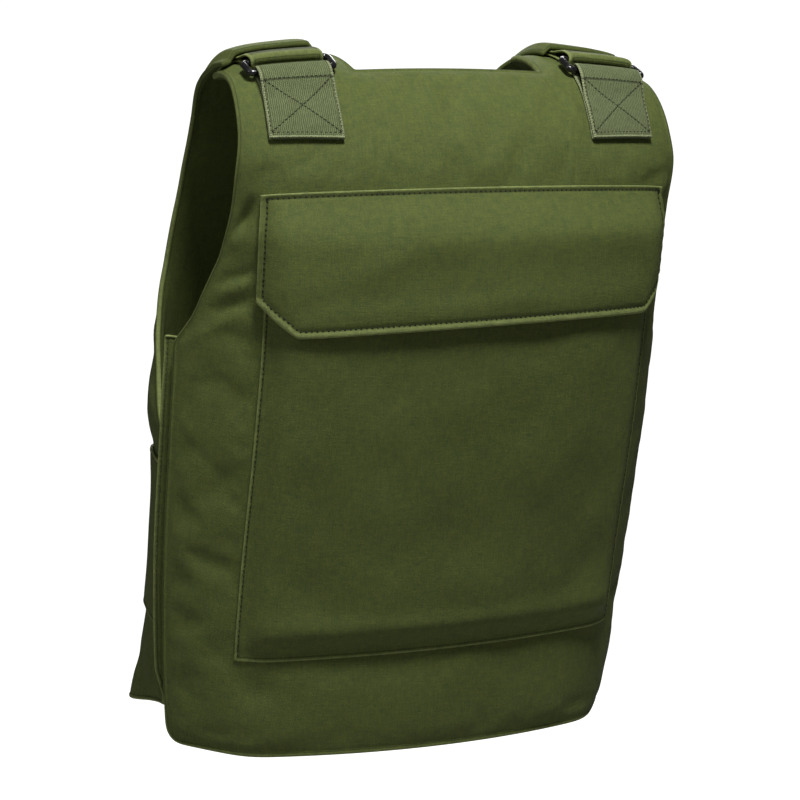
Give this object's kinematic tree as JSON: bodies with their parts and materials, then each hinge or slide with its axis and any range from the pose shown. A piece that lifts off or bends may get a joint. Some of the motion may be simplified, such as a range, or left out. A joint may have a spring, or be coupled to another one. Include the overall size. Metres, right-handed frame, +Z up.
{
  "type": "tactical vest",
  "caption": "Padded pull-on vest of olive cloth with a wide back pocket under a flap, webbing and rings at the shoulders and tall side straps.",
  "frame": {"origin": "midway between the shoulders, about 20 mm above the back neck edge, where the vest hangs on them", "axes": "+Z up; the wearer faces -Y, so the back pocket faces +Y, and the wearer's left is +X"},
  "size_m": [0.3662, 0.2621, 0.4797],
  "materials": {
    "olive_cloth": "matt woven",
    "green_webbing": "ribbed webbing",
    "black_plastic": "moulded, slightly glossy"
  },
  "bodies": {
    "root": {"back_panel": "olive_cloth", "back_pocket": "olive_cloth", "pocket_flap": "olive_cloth", "front_panel": "olive_cloth", "webbing_left": "green_webbing", "ring_left": "black_plastic", "shoulder_strap_left": "olive_cloth", "side_flange_left": "olive_cloth", "side_strap_left": "olive_cloth", "webbing_right": "green_webbing", "ring_right": "black_plastic", "shoulder_strap_right": "olive_cloth", "side_flange_right": "olive_cloth", "side_strap_right": "olive_cloth"}
  },
  "joints": []
}
